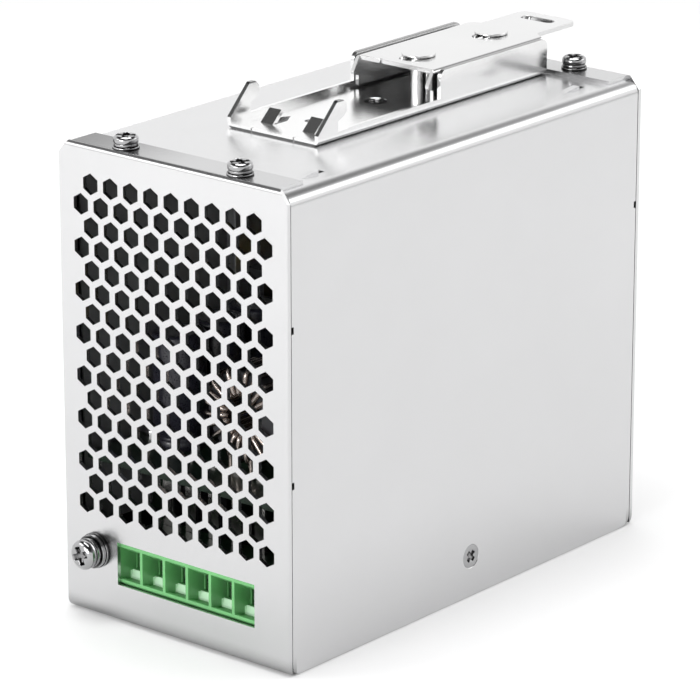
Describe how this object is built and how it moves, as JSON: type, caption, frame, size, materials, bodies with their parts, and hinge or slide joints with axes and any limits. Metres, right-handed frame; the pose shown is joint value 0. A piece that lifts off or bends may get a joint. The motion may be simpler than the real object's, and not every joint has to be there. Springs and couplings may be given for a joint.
{
  "type": "rail-mounted power supply",
  "caption": "Slim metal-cased power supply that clips to a mounting rail, with vented ends, a screw terminal block, an earth screw and a sliding rail latch.",
  "frame": {"origin": "middle of the front panel's outer face, which the object lies on", "axes": "+Z from the front panel to the rail side, +Y from the terminal end to the latch's tail, +X across"},
  "size_m": [0.066, 0.1394, 0.1182],
  "materials": {
    "case_sheet": "satin coated sheet steel",
    "bright_plate": "bright nickel plate",
    "spring_steel": "bright drawn wire",
    "terminal_green": "moulded polyamide",
    "tinned_copper": "tin plate",
    "zinc_cage": "zinc plate",
    "board": "solder-masked glass-epoxy laminate",
    "can_sleeve": "shrink sleeve",
    "ferrite": "ground ferrite",
    "winding_tape": "polyester tape",
    "bobbin": "moulded phenolic",
    "copper_wire": "enamelled copper",
    "heat_sink": "mill finish",
    "device_mould": "moulded epoxy",
    "film_capacitor": "moulded case",
    "disc_dip": "dipped epoxy",
    "thermistor_dip": "dipped epoxy",
    "fuse_glass": "clear",
    "film": "translucent film",
    "lamp_lens": "tinted lens",
    "trimmer_blue": "moulded plastic",
    "trimmer_white": "moulded plastic"
  },
  "bodies": {
    "case": {"chassis": "case_sheet", "cover": "case_sheet", "flange_screws": "bright_plate", "flange_spring_washers": "bright_plate", "flange_washers": "bright_plate", "clinch_nuts": "bright_plate", "side_screws": "bright_plate", "earth_screw": "bright_plate", "earth_spring_washer": "bright_plate", "earth_cup_washer": "bright_plate", "earth_washer": "bright_plate", "earth_nut": "bright_plate", "clip_bracket": "bright_plate", "guide_pins": "bright_plate", "bracket_screws": "bright_plate", "latch_spring": "spring_steel", "terminal_housing": "terminal_green", "terminal_bars": "tinned_copper", "main_board": "board", "standoffs": "bright_plate", "board_screws": "bright_plate", "bulk_capacitors": "can_sleeve", "output_capacitors": "can_sleeve", "transformer_core": "ferrite", "transformer_winding": "winding_tape", "transformer_base": "bobbin", "inductor_core": "ferrite", "inductor_winding": "copper_wire", "primary_heat_sink": "heat_sink", "secondary_heat_sink": "heat_sink", "power_transistors": "device_mould", "output_rectifiers": "device_mould", "device_screws": "bright_plate", "bridge_rectifier": "device_mould", "line_filter": "ferrite", "line_filter_winding": "copper_wire", "x_capacitors": "film_capacitor", "y_capacitors": "disc_dip", "thermistor": "thermistor_dip", "fuse_tube": "fuse_glass", "fuse_caps": "tinned_copper", "insulating_sheets": "film", "control_board": "board", "control_chips": "device_mould", "trimmer_body": "trimmer_blue", "status_lamp": "lamp_lens"},
    "latch": {"rail_latch": "bright_plate"},
    "trimmer": {"trimmer_rotor": "trimmer_white"},
    "terminal_screw_1": {"terminal_screw_1": "zinc_cage"},
    "terminal_clamp_1": {"terminal_clamp_1": "zinc_cage"},
    "terminal_screw_2": {"terminal_screw_2": "zinc_cage"},
    "terminal_clamp_2": {"terminal_clamp_2": "zinc_cage"},
    "terminal_screw_3": {"terminal_screw_3": "zinc_cage"},
    "terminal_clamp_3": {"terminal_clamp_3": "zinc_cage"},
    "terminal_screw_4": {"terminal_screw_4": "zinc_cage"},
    "terminal_clamp_4": {"terminal_clamp_4": "zinc_cage"},
    "terminal_screw_5": {"terminal_screw_5": "zinc_cage"},
    "terminal_clamp_5": {"terminal_clamp_5": "zinc_cage"},
    "terminal_screw_6": {"terminal_screw_6": "zinc_cage"},
    "terminal_clamp_6": {"terminal_clamp_6": "zinc_cage"}
  },
  "joints": [
    {"name": "latch_slide", "type": "slide", "parent": "case", "child": "latch", "axis": [0, 1, 0], "range_m": [0, 0.0036], "stiffness_N_per_m": 1500, "springref_m": -0.004, "deforming": ["latch_spring"]},
    {"name": "trimmer_turn", "type": "hinge", "parent": "case", "child": "trimmer", "pos_m": [-0.0009, -0.0127, 0.003], "axis": [0, 0, 1], "range_deg": [-130, 130]},
    {"name": "screw_turn_1", "type": "hinge", "parent": "case", "child": "terminal_screw_1", "pos_m": [-0.01488, -0.0528, 0.003], "axis": [0, 0, 1], "range_deg": [0, 2892]},
    {"name": "clamp_rise_1", "type": "slide", "parent": "case", "child": "terminal_clamp_1", "axis": [0, 0, -1], "range_m": [0, 0.0036]},
    {"name": "screw_turn_2", "type": "hinge", "parent": "case", "child": "terminal_screw_2", "pos_m": [-0.00806, -0.0528, 0.003], "axis": [0, 0, 1], "range_deg": [0, 2892]},
    {"name": "clamp_rise_2", "type": "slide", "parent": "case", "child": "terminal_clamp_2", "axis": [0, 0, -1], "range_m": [0, 0.0036]},
    {"name": "screw_turn_3", "type": "hinge", "parent": "case", "child": "terminal_screw_3", "pos_m": [-0.00124, -0.0528, 0.003], "axis": [0, 0, 1], "range_deg": [0, 2892]},
    {"name": "clamp_rise_3", "type": "slide", "parent": "case", "child": "terminal_clamp_3", "axis": [0, 0, -1], "range_m": [0, 0.0036]},
    {"name": "screw_turn_4", "type": "hinge", "parent": "case", "child": "terminal_screw_4", "pos_m": [0.00558, -0.0528, 0.003], "axis": [0, 0, 1], "range_deg": [0, 2892]},
    {"name": "clamp_rise_4", "type": "slide", "parent": "case", "child": "terminal_clamp_4", "axis": [0, 0, -1], "range_m": [0, 0.0036]},
    {"name": "screw_turn_5", "type": "hinge", "parent": "case", "child": "terminal_screw_5", "pos_m": [0.0124, -0.0528, 0.003], "axis": [0, 0, 1], "range_deg": [0, 2892]},
    {"name": "clamp_rise_5", "type": "slide", "parent": "case", "child": "terminal_clamp_5", "axis": [0, 0, -1], "range_m": [0, 0.0036]},
    {"name": "screw_turn_6", "type": "hinge", "parent": "case", "child": "terminal_screw_6", "pos_m": [0.01922, -0.0528, 0.003], "axis": [0, 0, 1], "range_deg": [0, 2892]},
    {"name": "clamp_rise_6", "type": "slide", "parent": "case", "child": "terminal_clamp_6", "axis": [0, 0, -1], "range_m": [0, 0.0036]}
  ],
  "couplings": [
    {"joint": "screw_turn_1", "follows": "clamp_rise_1", "rad_per_m": 13963},
    {"joint": "screw_turn_2", "follows": "clamp_rise_2", "rad_per_m": 13963},
    {"joint": "screw_turn_3", "follows": "clamp_rise_3", "rad_per_m": 13963},
    {"joint": "screw_turn_4", "follows": "clamp_rise_4", "rad_per_m": 13963},
    {"joint": "screw_turn_5", "follows": "clamp_rise_5", "rad_per_m": 13963},
    {"joint": "screw_turn_6", "follows": "clamp_rise_6", "rad_per_m": 13963}
  ]
}
